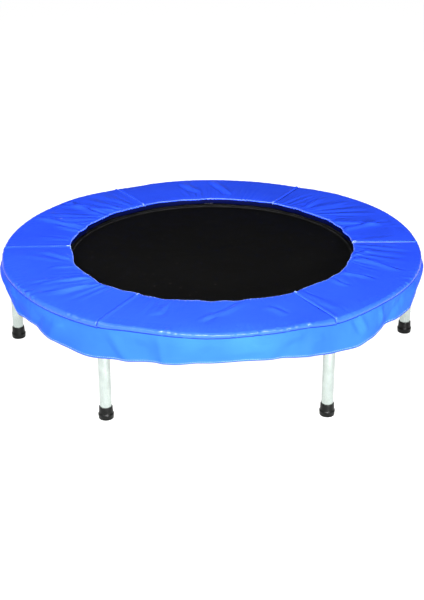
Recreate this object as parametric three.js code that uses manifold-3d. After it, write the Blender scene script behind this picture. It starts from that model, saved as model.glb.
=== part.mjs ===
// Round mini trampoline: a plated steel ring on six screw-in legs, a woven mat hung from it by
// thirty coil springs, and a vinyl safety pad with a skirt over the springs and the ring.
// Millimetres, +Z up. The origin is on the floor, under the middle of the mat.
import * as THREE from "three";
import { mergeVertices } from "three/addons/utils/BufferGeometryUtils.js";
import Module from "manifold-3d";

const wasm = await Module();
wasm.setup();

// ---- driving dimensions ----------------------------------------------------------------------
const RIM_R = 482.5; // outer stitched edge of the pad: a 38 inch trampoline
const TOP_Z = 230; // top of the pad above the floor
const LEGS = 6;
const SPRINGS = 30;
const GAP = 0.3; // between pieces that touch
const ROUND = 60; // facets round the ring, mat and pad

const PAD_THICK = 13;
const PAD_INNER_R = 327;
const COVER_SHEET = 1;
const HEM_Z = 156; // lower edge of the skirt
const HEM_R = 477;
const UNDERSIDE_SHORT = 3.2; // the underside stops this far inside the rim

const TUBE_R = 12.5; // ring and legs are the same 25 mm tube
const TUBE_WALL = 1.5;
const TUBE_SIDES = 10;
const RING_R = 462.5; // centre line of the ring

const MAT_R = 344;
const MAT_SHEET = 1.2;
const BAND_OUTER_R = 350;
const BAND_INNER_R = 322;
const BAND_SHEET = 1.1; // the band wraps the edge of the mat, above and below
const MAT_ABOVE_RING = 3.3; // the springs enter the ring a little above its middle

const COIL_R = 7;
const COIL_INNER_R = 379;
const COIL_OUTER_R = 437;
const COIL_SIDES = 8;
const WIRE_R = 1.3;
const WIRE_SIDES = 4;
const INNER_HOOK_STEPS = 5;
const OUTER_HOOK_STEPS = 4;
const HOOK_HOLE_R = 3.2;
const HOOK_HOLE_SIDES = 6;
const HOOK_REACH = 7; // how far the outer hook goes past the wall of the ring
const HOOK_DROP = 6; // and how far its end bends down inside it
const HOOK_START = 2; // both hooks begin this far inside the coil

const VRING_TIP_R = 368;
const VRING_HALF_BASE = 13;
const VRING_BAR = 3;
const VRING_CORNER = 3.3; // the opening starts this far in from each base corner
const VRING_HALF_EYE = 1.9; // half the width of the opening at the tip
const VRING_IN_BAND = 2; // depth of the base inside the webbing

const SOCKET_R = 11;
const SOCKET_BOTTOM_Z = 172;
const THREAD_R = 5; // M10
const THREAD_DEPTH = 17;
const STUD_R = 4.7;
const STUD_LENGTH = 17;
const PLUG = 8; // thickness of the plug in the top of the leg
const BEVEL = 1.2; // on the leg's top edge and the stud's end
const WASHER_R = 10.5;
const WASHER_THICK = 2;
const WASHER_HOLE_R = 5.2;

const FOOT_HEIGHT = 28;
const FOOT_FLOOR = 6;
const FOOT_COLLAR_R = 14.3;
const FOOT_RIDGE_R = 16.6;
const FOOT_RIDGE_Z = 11; // lower edge of the ridge
const FOOT_RIDGE_DEPTH = 2;
const FOOT_BASE_R = 15.8;
const FOOT_EDGE = 0.8; // rounding of the base
const ROUND_SMALL = 16; // facets round a leg, foot or boss

// ---- places worked out from them -------------------------------------------------------------
const PAD_BOTTOM_Z = TOP_Z - PAD_THICK;
const RING_Z = PAD_BOTTOM_Z - GAP - TUBE_R;
const MAT_Z = RING_Z + MAT_ABOVE_RING;
const LEG_TOP_Z = SOCKET_BOTTOM_Z - WASHER_THICK - 2 * GAP;
const LEG_BOTTOM_Z = FOOT_FLOOR + GAP;

// ---- materials -------------------------------------------------------------------------------
const paint = (color, roughness, metalness) =>
  new THREE.MeshStandardMaterial({ color, roughness, metalness });
const platedSteel = paint(0xd9dddb, 0.22, 1);
const springSteel = paint(0xb9bdc0, 0.3, 1);
const rubber = paint(0x141414, 0.45, 0);
const matWeave = paint(0x111111, 0.85, 0);
const webbing = paint(0x1a1a1c, 0.8, 0);
const vinyl = paint(0x2f6bff, 0.28, 0);
const foam = paint(0xe6e2d2, 0.9, 0);

// ---- solid helpers ---------------------------------------------------------------------------
function toSolid(geometry) {
  const bare = geometry.clone();
  bare.deleteAttribute("normal");
  bare.deleteAttribute("uv");
  const merged = mergeVertices(bare, 1e-3);
  return new wasm.Manifold(
    new wasm.Mesh({
      numProp: 3,
      vertProperties: merged.attributes.position.array,
      triVerts: new Uint32Array(merged.index.array),
    }),
  );
}

function toGeometry(solid) {
  const mesh = solid.getMesh();
  const geometry = new THREE.BufferGeometry();
  geometry.setAttribute("position", new THREE.BufferAttribute(mesh.vertProperties, mesh.numProp));
  geometry.setIndex(new THREE.BufferAttribute(mesh.triVerts, 1));
  geometry.computeVertexNormals();
  return geometry;
}

const joined = (solids) => solids.reduce((whole, piece) => whole.add(piece));

// A profile of [radius, height] points, anticlockwise, turned about the Z axis.
function turned(profile, facets) {
  const points = profile.map(([r, z]) => new THREE.Vector2(r, z));
  return new THREE.LatheGeometry(points, facets).rotateX(Math.PI / 2);
}

// The same for a profile that closes on itself, such as the section of a ring.
const turnedRing = (profile, facets) => turned([...profile, profile[0]], facets);

function roundSection(centreR, centreZ, radius, sides) {
  return Array.from({ length: sides }, (_, i) => {
    const a = ((i + 0.5) / sides) * 2 * Math.PI;
    return [centreR + radius * Math.cos(a), centreZ + radius * Math.sin(a)];
  });
}

// A bar of round section along a smooth curve through the points.
function wire(points, radius, sides, steps) {
  const section = new THREE.Shape(
    Array.from({ length: sides }, (_, i) => {
      const a = ((i + 0.5) / sides) * 2 * Math.PI;
      return new THREE.Vector2(radius * Math.cos(a), radius * Math.sin(a));
    }),
  );
  const extrudePath = new THREE.CatmullRomCurve3(points.map((p) => new THREE.Vector3(...p)));
  return new THREE.ExtrudeGeometry(section, { steps, extrudePath });
}

function named(name, geometry, material) {
  const mesh = new THREE.Mesh(geometry, material);
  mesh.name = name;
  return mesh;
}

// A group turned about Z, so that its +X points along the given angle.
function turnedGroup(angle, ...meshes) {
  const group = new THREE.Group();
  group.rotation.z = angle;
  group.add(...meshes);
  return group;
}

const legAngle = (k) => (k / LEGS) * 2 * Math.PI;
const springAngle = (k) => ((k + 0.5) / SPRINGS) * 2 * Math.PI;

// ---- frame ring: a bent tube with a hole for each spring's hook --------------------------------
function frameRing() {
  const outside = roundSection(RING_R, RING_Z, TUBE_R, TUBE_SIDES);
  const inside = roundSection(RING_R, RING_Z, TUBE_R - TUBE_WALL, TUBE_SIDES);
  const holes = Array.from({ length: SPRINGS }, (_, k) => {
    const drill = new THREE.CylinderGeometry(HOOK_HOLE_R, HOOK_HOLE_R, TUBE_R, HOOK_HOLE_SIDES);
    drill.rotateZ(Math.PI / 2).translate(RING_R - TUBE_R, 0, MAT_Z).rotateZ(springAngle(k));
    return toSolid(drill);
  });
  const tube = toSolid(turnedRing(outside, ROUND)).subtract(toSolid(turnedRing(inside, ROUND)));
  return named("frame_ring", toGeometry(tube.subtract(joined(holes))), platedSteel);
}

// ---- legs ------------------------------------------------------------------------------------
// A threaded boss, saddled to the underside of the ring.
function legSocket() {
  const height = RING_Z - SOCKET_BOTTOM_Z;
  const boss = new THREE.CylinderGeometry(SOCKET_R, SOCKET_R, height, ROUND_SMALL);
  boss.rotateX(Math.PI / 2).translate(RING_R, 0, SOCKET_BOTTOM_Z + height / 2);
  const saddle = turnedRing(roundSection(RING_R, RING_Z, TUBE_R + GAP, TUBE_SIDES), ROUND);
  const bore = new THREE.CylinderGeometry(THREAD_R, THREAD_R, 2 * THREAD_DEPTH, ROUND_SMALL);
  bore.rotateX(Math.PI / 2).translate(RING_R, 0, SOCKET_BOTTOM_Z);
  return toGeometry(toSolid(boss).subtract(toSolid(saddle)).subtract(toSolid(bore)));
}

// A tube, plugged at the top, with the stud that screws into the socket.
function legTube() {
  const inner = TUBE_R - TUBE_WALL;
  const studTop = LEG_TOP_Z + STUD_LENGTH;
  return turned(
    [
      [0, LEG_TOP_Z - PLUG],
      [inner, LEG_TOP_Z - PLUG],
      [inner, LEG_BOTTOM_Z],
      [TUBE_R, LEG_BOTTOM_Z],
      [TUBE_R, LEG_TOP_Z - BEVEL],
      [TUBE_R - BEVEL, LEG_TOP_Z],
      [STUD_R, LEG_TOP_Z],
      [STUD_R, studTop - BEVEL],
      [STUD_R - BEVEL, studTop],
      [0, studTop],
    ],
    ROUND_SMALL,
  );
}

function legWasher() {
  const bottom = LEG_TOP_Z + GAP;
  return turnedRing(
    [
      [WASHER_HOLE_R, bottom],
      [WASHER_R, bottom],
      [WASHER_R, bottom + WASHER_THICK],
      [WASHER_HOLE_R, bottom + WASHER_THICK],
    ],
    ROUND_SMALL,
  );
}

// A rubber cap, flared to a ridge above its flat base.
function legFoot() {
  const bore = TUBE_R + GAP;
  const ridgeTop = FOOT_RIDGE_Z + FOOT_RIDGE_DEPTH;
  return turned(
    [
      [0, 0],
      [FOOT_BASE_R - FOOT_EDGE, 0],
      [FOOT_BASE_R, FOOT_EDGE],
      [FOOT_BASE_R, FOOT_RIDGE_Z - FOOT_EDGE],
      [FOOT_RIDGE_R, FOOT_RIDGE_Z],
      [FOOT_RIDGE_R, ridgeTop],
      [FOOT_COLLAR_R + FOOT_EDGE, ridgeTop + 2 * FOOT_EDGE],
      [FOOT_COLLAR_R, FOOT_HEIGHT - FOOT_EDGE],
      [FOOT_COLLAR_R - FOOT_EDGE / 2, FOOT_HEIGHT],
      [bore, FOOT_HEIGHT],
      [bore, FOOT_FLOOR],
      [0, FOOT_FLOOR],
    ],
    ROUND_SMALL,
  );
}

function legAssembly(k) {
  const number = k + 1;
  const upright = new THREE.Group();
  upright.position.x = RING_R;
  upright.add(
    named(`leg_washer_${number}`, legWasher(), springSteel),
    named(`leg_${number}`, legTube(), platedSteel),
    named(`foot_${number}`, legFoot(), rubber),
  );
  return turnedGroup(legAngle(k), named(`leg_socket_${number}`, legSocket(), platedSteel), upright);
}

// ---- mat -------------------------------------------------------------------------------------
function mat() {
  const half = MAT_SHEET / 2;
  const profile = [
    [0, MAT_Z - half],
    [MAT_R, MAT_Z - half],
    [MAT_R, MAT_Z + half],
    [0, MAT_Z + half],
  ];
  return named("mat", turned(profile, ROUND), matWeave);
}

// The webbing folded round the edge of the mat, with the V-rings sewn into it.
function matEdgeBand() {
  const inside = MAT_SHEET / 2 + GAP;
  const outside = inside + BAND_SHEET;
  const fold = toSolid(
    turnedRing(
      [
        [BAND_INNER_R, MAT_Z - outside],
        [BAND_OUTER_R, MAT_Z - outside],
        [BAND_OUTER_R, MAT_Z + outside],
        [BAND_INNER_R, MAT_Z + outside],
        [BAND_INNER_R, MAT_Z + inside],
        [MAT_R + GAP, MAT_Z + inside],
        [MAT_R + GAP, MAT_Z - inside],
        [BAND_INNER_R, MAT_Z - inside],
      ],
      ROUND,
    ),
  );
  const rings = Array.from({ length: SPRINGS }, (_, k) => toSolid(vRing().rotateZ(springAngle(k))));
  return named("mat_edge_band", toGeometry(fold.add(joined(rings))), webbing);
}

// A triangle of wire with its base in the webbing and its tip outwards.
function vRing() {
  const base = BAND_OUTER_R - VRING_IN_BAND;
  const tip = VRING_TIP_R - VRING_BAR;
  const outline = new THREE.Shape([
    new THREE.Vector2(base, -VRING_HALF_BASE),
    new THREE.Vector2(VRING_TIP_R, -VRING_BAR),
    new THREE.Vector2(VRING_TIP_R, VRING_BAR),
    new THREE.Vector2(base, VRING_HALF_BASE),
  ]);
  const hole = [
    new THREE.Vector2(BAND_OUTER_R, -VRING_HALF_BASE + VRING_CORNER),
    new THREE.Vector2(BAND_OUTER_R, VRING_HALF_BASE - VRING_CORNER),
    new THREE.Vector2(tip, VRING_HALF_EYE),
    new THREE.Vector2(tip, -VRING_HALF_EYE),
  ];
  outline.holes.push(new THREE.Path(hole));
  const plate = new THREE.ExtrudeGeometry(outline, { depth: VRING_BAR, bevelEnabled: false });
  return plate.translate(0, 0, MAT_Z - VRING_BAR / 2);
}

// ---- springs: the outer shape of the coil, with its two hooks -----------------------------------
function spring() {
  const length = COIL_OUTER_R - COIL_INNER_R;
  const coil = new THREE.CylinderGeometry(COIL_R, COIL_R, length, COIL_SIDES);
  coil.rotateZ(Math.PI / 2).translate(COIL_INNER_R + length / 2, 0, MAT_Z);
  const over = VRING_BAR / 2 + WIRE_R + 2 * GAP; // the hook passes over the V-ring's tip
  const inside = VRING_TIP_R - VRING_BAR - WIRE_R - 2 * GAP;
  const innerHook = wire(
    [
      [COIL_INNER_R + HOOK_START, 0, MAT_Z],
      [VRING_TIP_R, 0, MAT_Z + over],
      [inside, 0, MAT_Z + over],
      [inside, 0, MAT_Z - over],
    ],
    WIRE_R,
    WIRE_SIDES,
    INNER_HOOK_STEPS,
  );
  const wallR = RING_R - TUBE_R;
  const outerHook = wire(
    [
      [COIL_OUTER_R - HOOK_START, 0, MAT_Z],
      [wallR, 0, MAT_Z],
      [wallR + HOOK_REACH - HOOK_START, 0, MAT_Z],
      [wallR + HOOK_REACH, 0, MAT_Z - HOOK_DROP],
    ],
    WIRE_R,
    WIRE_SIDES,
    OUTER_HOOK_STEPS,
  );
  return toGeometry(joined([coil, innerHook, outerHook].map(toSolid)));
}

// ---- safety pad ------------------------------------------------------------------------------
const UNDERSIDE_R = RIM_R - UNDERSIDE_SHORT;

// The cover's top and underside, joined at the hole; the skirt closes it at the rim.
function padCover() {
  const under = PAD_BOTTOM_Z + COVER_SHEET;
  const above = TOP_Z - COVER_SHEET;
  const inner = PAD_INNER_R + COVER_SHEET;
  const profile = [
    [PAD_INNER_R, PAD_BOTTOM_Z],
    [UNDERSIDE_R, PAD_BOTTOM_Z],
    [UNDERSIDE_R, under],
    [inner, under],
    [inner, above],
    [RIM_R, above],
    [RIM_R, TOP_Z],
    [PAD_INNER_R, TOP_Z],
  ];
  return named("pad_cover", turnedRing(profile, ROUND), vinyl);
}

function padFoam() {
  const clear = COVER_SHEET + GAP;
  const profile = [
    [PAD_INNER_R + clear, PAD_BOTTOM_Z + clear],
    [UNDERSIDE_R, PAD_BOTTOM_Z + clear],
    [UNDERSIDE_R, TOP_Z - clear],
    [PAD_INNER_R + clear, TOP_Z - clear],
  ];
  return named("pad_foam", turnedRing(profile, ROUND), foam);
}

function padSkirt() {
  const top = TOP_Z - COVER_SHEET - GAP;
  const profile = [
    [HEM_R - COVER_SHEET, HEM_Z],
    [HEM_R, HEM_Z],
    [RIM_R, top],
    [RIM_R - COVER_SHEET, top],
  ];
  return named("pad_skirt", turnedRing(profile, ROUND), vinyl);
}

// ---- the whole trampoline ----------------------------------------------------------------------
const trampoline = new THREE.Group();
trampoline.add(frameRing(), mat(), matEdgeBand(), padCover(), padFoam(), padSkirt());
for (let k = 0; k < LEGS; k++) trampoline.add(legAssembly(k));
for (let k = 0; k < SPRINGS; k++) {
  const name = `spring_${String(k + 1).padStart(2, "0")}`;
  trampoline.add(turnedGroup(springAngle(k), named(name, spring(), springSteel)));
}

export default trampoline;
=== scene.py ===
"""Looks of a round mini trampoline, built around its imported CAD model. Metres, +Z up.

The camera looks along +Y. Angles are measured about the Z axis from +X, so the front is at -90
degrees. The six seams of the pad lie over the six legs, at whole multiples of 60 degrees.
"""

import math

import bpy
import numpy as np
from mathutils import Matrix, Vector


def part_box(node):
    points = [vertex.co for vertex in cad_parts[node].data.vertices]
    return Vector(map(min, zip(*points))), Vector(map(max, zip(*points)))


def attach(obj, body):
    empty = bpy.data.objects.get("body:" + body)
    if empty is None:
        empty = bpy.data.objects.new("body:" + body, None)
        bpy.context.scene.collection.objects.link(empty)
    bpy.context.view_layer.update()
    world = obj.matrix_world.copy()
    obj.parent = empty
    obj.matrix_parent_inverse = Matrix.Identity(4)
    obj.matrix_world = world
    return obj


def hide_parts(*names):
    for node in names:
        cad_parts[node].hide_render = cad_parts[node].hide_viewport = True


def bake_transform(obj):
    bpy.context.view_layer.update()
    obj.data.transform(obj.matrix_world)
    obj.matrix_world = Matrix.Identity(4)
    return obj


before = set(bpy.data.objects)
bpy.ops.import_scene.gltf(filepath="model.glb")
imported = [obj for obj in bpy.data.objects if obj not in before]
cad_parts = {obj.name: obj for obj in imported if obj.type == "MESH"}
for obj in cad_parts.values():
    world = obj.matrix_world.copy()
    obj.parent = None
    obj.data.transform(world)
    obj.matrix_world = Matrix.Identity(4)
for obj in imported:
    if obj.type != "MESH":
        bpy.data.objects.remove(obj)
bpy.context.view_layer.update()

TAU = 2 * math.pi
MM = 0.001


# ---- sizes read from the frame ----
def radii(node):
    """Smallest and largest distance of a CAD node's surface from the Z axis."""
    co = np.array([v.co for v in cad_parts[node].data.vertices])
    r = np.hypot(co[:, 0], co[:, 1])
    return r.min(), r.max()


PAD_LOW, PAD_HIGH = (corner.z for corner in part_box("pad_cover"))
HOLE_R, RIM_R = radii("pad_cover")
LEG_LOW, LEG_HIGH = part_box("leg_1")
LEG_CIRCLE_R = (LEG_LOW.x + LEG_HIGH.x) / 2
TUBE_R = (LEG_HIGH.x - LEG_LOW.x) / 2
RING_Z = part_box("frame_ring")[1].z - TUBE_R
MAT_Z = sum(corner.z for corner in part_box("mat")) / 2
MAT_EDGE_R = radii("mat")[1]
FOOT_TOP_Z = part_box("foot_1")[1].z
LEGS = 6
SPRINGS = 30


# ---- camera ----
def make_camera():
    """A long lens that looks down on the pad from the front, a touch off its middle."""
    azimuth, elevation = math.radians(-1.308), math.radians(21.127)
    tilt_down, roll = math.radians(2.668), math.radians(0.224)
    distance = 2.7897
    data = bpy.data.cameras.new("camera")
    data.sensor_width = 36
    data.lens = 71.904
    data.clip_end = 50
    camera = bpy.data.objects.new("camera", data)
    bpy.context.scene.collection.objects.link(camera)
    level = math.cos(elevation)
    back = Vector((math.sin(azimuth) * level, -math.cos(azimuth) * level, math.sin(elevation)))
    camera.location = Vector((0, 0, PAD_HIGH + 0.0006)) + distance * back
    spin = Matrix.Rotation(azimuth, 4, "Z")
    pitch = Matrix.Rotation(math.pi / 2 - elevation - tilt_down, 4, "X")
    camera.rotation_euler = (spin @ pitch @ Matrix.Rotation(-roll, 4, "Z")).to_euler()
    bpy.context.scene.camera = camera


make_camera()


# ---- number helpers ----
def smoothstep(x, low, high):
    t = np.clip((np.asarray(x, float) - low) / (high - low), 0, 1)
    return t * t * (3 - 2 * t)


def bell(x, middle, width):
    return np.exp(-(((x - middle) / width) ** 2))


def full_turn(count):
    """Angles spaced evenly round a full turn."""
    return np.arange(count) / count * TAU


def waves(theta, lowest, highest, seed):
    """A smooth random function of angle that closes on itself, about -1 to 1 high."""
    rng = np.random.default_rng(seed)
    orders = np.arange(lowest, highest + 1)
    phases = rng.uniform(0, TAU, len(orders))
    sizes = rng.uniform(0.4, 1, len(orders))
    total = sum(a * np.cos(k * theta + p) for a, k, p in zip(sizes, orders, phases))
    return total / math.sqrt(0.5 * float((sizes**2).sum())) / 1.6


def around(theta, points):
    """A length at any angle, smoothly between (degrees, millimetres) points that go full circle."""
    points = sorted((d % 360, v) for d, v in points)
    degrees = np.array([d for d, _ in points])
    values = np.array([v * MM for _, v in points])
    d = np.degrees(theta) % 360
    i = (np.searchsorted(degrees, d, side="right") - 1) % len(degrees)
    j = (i + 1) % len(degrees)
    span = (degrees[j] - degrees[i]) % 360
    share = smoothstep(((d - degrees[i]) % 360) / np.where(span == 0, 360, span), 0, 1)
    return values[i] + (values[j] - values[i]) * share


def polar(r, theta, z):
    """Points from radius, angle and height, which may be arrays of one shape."""
    r, theta, z = np.broadcast_arrays(r, theta, z)
    return np.stack([r * np.cos(theta), r * np.sin(theta), z], axis=-1)


def unit(v):
    return v / np.maximum(np.linalg.norm(v, axis=-1, keepdims=True), 1e-12)


# ---- mesh helpers ----
def add_mesh(name, vertices, faces, material, smooth=True):
    mesh = bpy.data.meshes.new(name)
    mesh.from_pydata(np.asarray(vertices, float).reshape(-1, 3).tolist(), [], faces)
    mesh.materials.append(material)
    mesh.polygons.foreach_set("use_smooth", [smooth] * len(mesh.polygons))
    mesh.update()
    obj = bpy.data.objects.new(name, mesh)
    bpy.context.scene.collection.objects.link(obj)
    return obj


def grid_faces(columns, rows, closed_columns=True, closed_rows=False, flip=False):
    """Quads over a columns x rows block of vertices, with the row as the fast index."""
    i = np.arange(columns if closed_columns else columns - 1)
    j = np.arange(rows if closed_rows else rows - 1)
    i, j = np.meshgrid(i, j, indexing="ij")
    i2, j2 = (i + 1) % columns, (j + 1) % rows
    quads = np.stack([i * rows + j, i2 * rows + j, i2 * rows + j2, i * rows + j2], axis=-1)
    quads = quads.reshape(-1, 4)
    return (quads[:, ::-1] if flip else quads).tolist()


def grid_normals(points):
    """Normals of a grid whose first index closes on itself, pointing to the left of its rows."""
    along = np.roll(points, -1, axis=0) - np.roll(points, 1, axis=0)
    across = np.gradient(points, axis=1)
    return unit(np.cross(along, across))


def bar_faces(stations, sides):
    """Faces of a bar with rings of vertices at its stations, and of its two ends."""
    faces = grid_faces(stations, sides, closed_columns=False, closed_rows=True, flip=True)
    ends = [list(range(sides - 1, -1, -1)), list(range((stations - 1) * sides, stations * sides))]
    return faces + ends


def lathe_faces(facets, rows):
    """Faces of an open profile turned about the Z axis, and of the rings at its two ends."""
    ends = [[i * rows for i in range(facets)][::-1], [(i + 1) * rows - 1 for i in range(facets)]]
    return grid_faces(facets, rows) + ends


class Parts:
    """Collects pieces of mesh that end up in one object."""

    def __init__(self):
        self.vertices, self.faces = [], []

    def add(self, vertices, faces):
        start = sum(len(v) for v in self.vertices)
        self.vertices.append(np.asarray(vertices, float).reshape(-1, 3))
        self.faces.extend([[i + start for i in face] for face in faces])

    def make(self, name, material, smooth=True):
        return add_mesh(name, np.concatenate(self.vertices), self.faces, material, smooth)


def circles(ups, sideways, a):
    """Unit circles at the angles a, each spanned by its own two directions."""
    return np.cos(a)[None, :, None] * ups[:, None] + np.sin(a)[None, :, None] * sideways[:, None]


def tube(path, radius, sides=10, closed=False):
    """Vertices and faces of a round bar along a path. The radius may change along it."""
    path = np.asarray(path, float)
    n = len(path)
    if closed:
        tangents = unit(np.roll(path, -1, axis=0) - np.roll(path, 1, axis=0))
    else:
        tangents = unit(np.gradient(path, axis=0))
    steep = abs(tangents[0][2]) >= 0.9
    normal = np.array([1.0, 0.0, 0.0] if steep else [0.0, 0.0, 1.0])
    normals = np.zeros_like(path)
    for i, t in enumerate(tangents):
        normal = normal - t * (normal @ t)
        normal = normal / np.linalg.norm(normal)
        normals[i] = normal
    sideways = np.cross(tangents, normals)
    a = full_turn(sides)
    radius = np.broadcast_to(np.asarray(radius, float), (n,))[:, None, None]
    vertices = (path[:, None] + radius * circles(normals, sideways, a)).reshape(-1, 3)
    if closed:
        return vertices, grid_faces(n, sides, closed_rows=True, flip=True)
    return vertices, bar_faces(n, sides)


def turned(profile, facets, closed=False):
    """A profile of (radius, height) points turned about the Z axis, as vertices and faces."""
    profile = np.asarray(profile, float)
    theta = full_turn(facets)
    points = polar(profile[None, :, 0], theta[:, None], profile[None, :, 1])
    if closed:
        return points.reshape(-1, 3), grid_faces(facets, len(profile), closed_rows=True)
    return points.reshape(-1, 3), lathe_faces(facets, len(profile))


def rounded(corners, radius, steps=3, closed=False, most=0.45):
    """A path through corners, each rounded by a curve that takes at most a share of either side."""
    corners = np.asarray(corners, float)
    sides = list(zip(np.roll(corners, 1, 0), corners, np.roll(corners, -1, 0)))
    path = []
    for before, corner, after in sides if closed else sides[1:-1]:
        start = corner + unit(before - corner) * min(radius, most * np.linalg.norm(before - corner))
        end = corner + unit(after - corner) * min(radius, most * np.linalg.norm(after - corner))
        for t in np.linspace(0, 1, steps):
            path.append((1 - t) ** 2 * start + 2 * t * (1 - t) * corner + t**2 * end)
    return np.array(path if closed else [corners[0], *path, corners[-1]])


def spin_z(vertices, angle):
    c, s = math.cos(angle), math.sin(angle)
    return np.asarray(vertices) @ np.array([[c, s, 0.0], [-s, c, 0.0], [0.0, 0.0, 1.0]])


# Places along one stitch, as shares of its length, and its height above the cloth and thickness
# there, as shares of its radius.
STITCH_SHAPE = [(-0.5, -0.6, 0.55), (-0.42, 0.1, 0.9), (-0.2, 0.55, 1)]
STITCH_SHAPE += [(0.2, 0.55, 1), (0.42, 0.1, 0.9), (0.5, -0.6, 0.55)]
STITCH_SIDES = 6


def stitches(path, normals, length, spacing, radius, closed=True):
    """A row of thread stitches along a path: short bars that dip into the cloth at their ends."""
    path = np.asarray(path, float)
    if closed:
        path = np.concatenate([path, path[:1]])
        normals = np.concatenate([normals, normals[:1]])
    steps = np.linalg.norm(np.diff(path, axis=0), axis=1)
    along = np.concatenate([[0], np.cumsum(steps)])
    count = int(along[-1] / spacing)
    middles = (np.arange(count) + 0.5) * along[-1] / count

    def at(distance, values):
        return np.stack([np.interp(distance, along, values[:, k]) for k in range(3)], axis=-1)

    ups = unit(at(middles, normals))
    forward = unit(at(middles + 0.2 * length, path) - at(middles - 0.2 * length, path))
    section = circles(ups, np.cross(forward, ups), full_turn(STITCH_SIDES))
    rings = []
    for place, height, girth in STITCH_SHAPE:
        centre = at(middles + place * length, path) + ups * (height * radius)
        rings.append(centre[:, None] + girth * radius * section)
    one = bar_faces(len(rings), STITCH_SIDES)
    size = len(rings) * STITCH_SIDES
    faces = [[i + k * size for i in face] for k in range(count) for face in one]
    row = Parts()
    row.add(np.stack(rings, axis=1), faces)
    return row


# ---- materials ----
class Shader:
    """A Principled material with short calls for its procedural nodes."""

    def __init__(self, name, roughness, specular=0.5, metallic=0.0, ior=1.5):
        self.material = bpy.data.materials.new(name)
        self.material.use_nodes = True
        self.nodes = self.material.node_tree.nodes
        self.links = self.material.node_tree.links
        self.principled = self.nodes["Principled BSDF"]
        self.set("Roughness", roughness)
        self.set("Specular IOR Level", specular)
        self.set("Metallic", metallic)
        self.set("IOR", ior)
        self.place = self.nodes.new("ShaderNodeTexCoord").outputs["Object"]

    def set(self, socket, value):
        self.principled.inputs[socket].default_value = value

    def link(self, output, socket):
        self.links.new(output, self.principled.inputs[socket])

    def tint(self, share, first, second):
        self.link(self.mix(share, first, second), "Base Color")

    def gloss(self, cloud, low, high):
        self.link(self.span(cloud, 0.3, 0.7, low, high), "Roughness")

    def node(self, kind, inputs=(), **settings):
        made = self.nodes.new(kind)
        for key, value in settings.items():
            setattr(made, key, value)
        for key, value in dict(inputs).items():
            if isinstance(value, bpy.types.NodeSocket):
                self.links.new(value, made.inputs[key])
            else:
                made.inputs[key].default_value = value
        return made

    def noise(self, scale, detail=2.0, stretch=None):
        place = self.place
        if stretch:
            place = self.node("ShaderNodeMapping", {"Vector": place, "Scale": stretch}).outputs[0]
        inputs = {"Vector": place, "Scale": scale, "Detail": detail}
        return self.node("ShaderNodeTexNoise", inputs).outputs["Fac"]

    def math(self, operation, a, b=0.0, c=0.0):
        inputs = {0: a, 1: b, 2: c}
        return self.node("ShaderNodeMath", inputs, operation=operation).outputs[0]

    def span(self, value, low, high, to_low, to_high):
        inputs = {"Value": value, "From Min": low, "From Max": high}
        inputs.update({"To Min": to_low, "To Max": to_high})
        return self.node("ShaderNodeMapRange", inputs).outputs[0]

    def mix(self, share, first, second):
        inputs = {0: share, 6: first, 7: second}
        return self.node("ShaderNodeMix", inputs, data_type="RGBA").outputs[2]

    def bump(self, height, distance, strength=1.0, below=None):
        inputs = {"Height": height, "Distance": distance, "Strength": strength}
        if below:
            inputs["Normal"] = below
        return self.node("ShaderNodeBump", inputs).outputs[0]


def rgb(r, g, b):
    return (r, g, b, 1.0)


def scaled(color, factor):
    return rgb(*(min(1.0, c * factor) for c in color))


def vinyl(name, color, roughness, shine, patchy=0.1):
    """Soft coated cloth: fine grain, a faint weave under the coat, and slow changes of gloss."""
    shader = Shader(name, roughness, shine, ior=1.45)
    cloud = shader.noise(7.0, 3.0)
    share = shader.span(cloud, 0.3, 0.7, 0.0, 1.0)
    shader.tint(share, scaled(color, 1 - patchy), scaled(color, 1 + patchy))
    shader.gloss(shader.noise(23.0, 4.0), roughness - 0.05, roughness + 0.06)
    grain = shader.bump(shader.noise(1400.0, 2.0), 0.00006, 0.6)
    ripple = shader.bump(shader.noise(60.0, 3.0), 0.0006, 0.5, grain)
    shader.link(ripple, "Normal")
    return shader.material


def thread(name, color):
    shader = Shader(name, 0.6)
    twist = shader.noise(2500.0, 1.0)
    shader.tint(twist, scaled(color, 0.7), rgb(*color))
    shader.link(shader.bump(twist, 0.0001, 0.6), "Normal")
    return shader.material


def woven(name, color, pitch, speck=0.0):
    """A tight plain weave of flat tapes, over and under on a square grid."""
    shader = Shader(name, 0.6, 0.04)
    axes = shader.node("ShaderNodeSeparateXYZ", {"Vector": shader.place}).outputs
    turn = TAU / pitch
    warp = shader.math("SINE", shader.math("MULTIPLY", axes["X"], turn))
    weft = shader.math("SINE", shader.math("MULTIPLY", axes["Y"], turn))
    over = shader.math("MULTIPLY", warp, weft)
    height = shader.span(over, -1.0, 1.0, 0.0, 1.0)
    # The tapes are darker where they dip under the crossing ones: painted shade in the weave's
    # hollows.
    cloth = shader.mix(height, scaled(color, 0.55), scaled(color, 1.35))
    if speck:
        lint = shader.span(shader.noise(160.0, 1.0), 0.76, 0.8, 0.0, speck)
        cloth = shader.mix(lint, cloth, rgb(0.12, 0.11, 0.1))
    shader.link(cloth, "Base Color")
    shader.gloss(shader.noise(9.0, 4.0), 0.48, 0.66)
    shader.link(shader.bump(height, 0.0004, 0.7), "Normal")
    return shader.material


def plated(name, color, roughness):
    """Zinc plate: bright, with faint drawing marks along the tube and cloudy patches."""
    shader = Shader(name, roughness, metallic=0.87)
    cloud = shader.noise(45.0, 4.0)
    marks = shader.noise(420.0, 2.0, stretch=(1.0, 1.0, 0.04))
    patches = shader.span(cloud, 0.35, 0.65, 0.0, 1.0)
    shader.tint(patches, scaled(color, 0.88), rgb(*color))
    shader.gloss(marks, roughness - 0.05, roughness + 0.07)
    shader.link(shader.bump(marks, 0.00003, 0.5), "Normal")
    return shader.material


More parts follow.
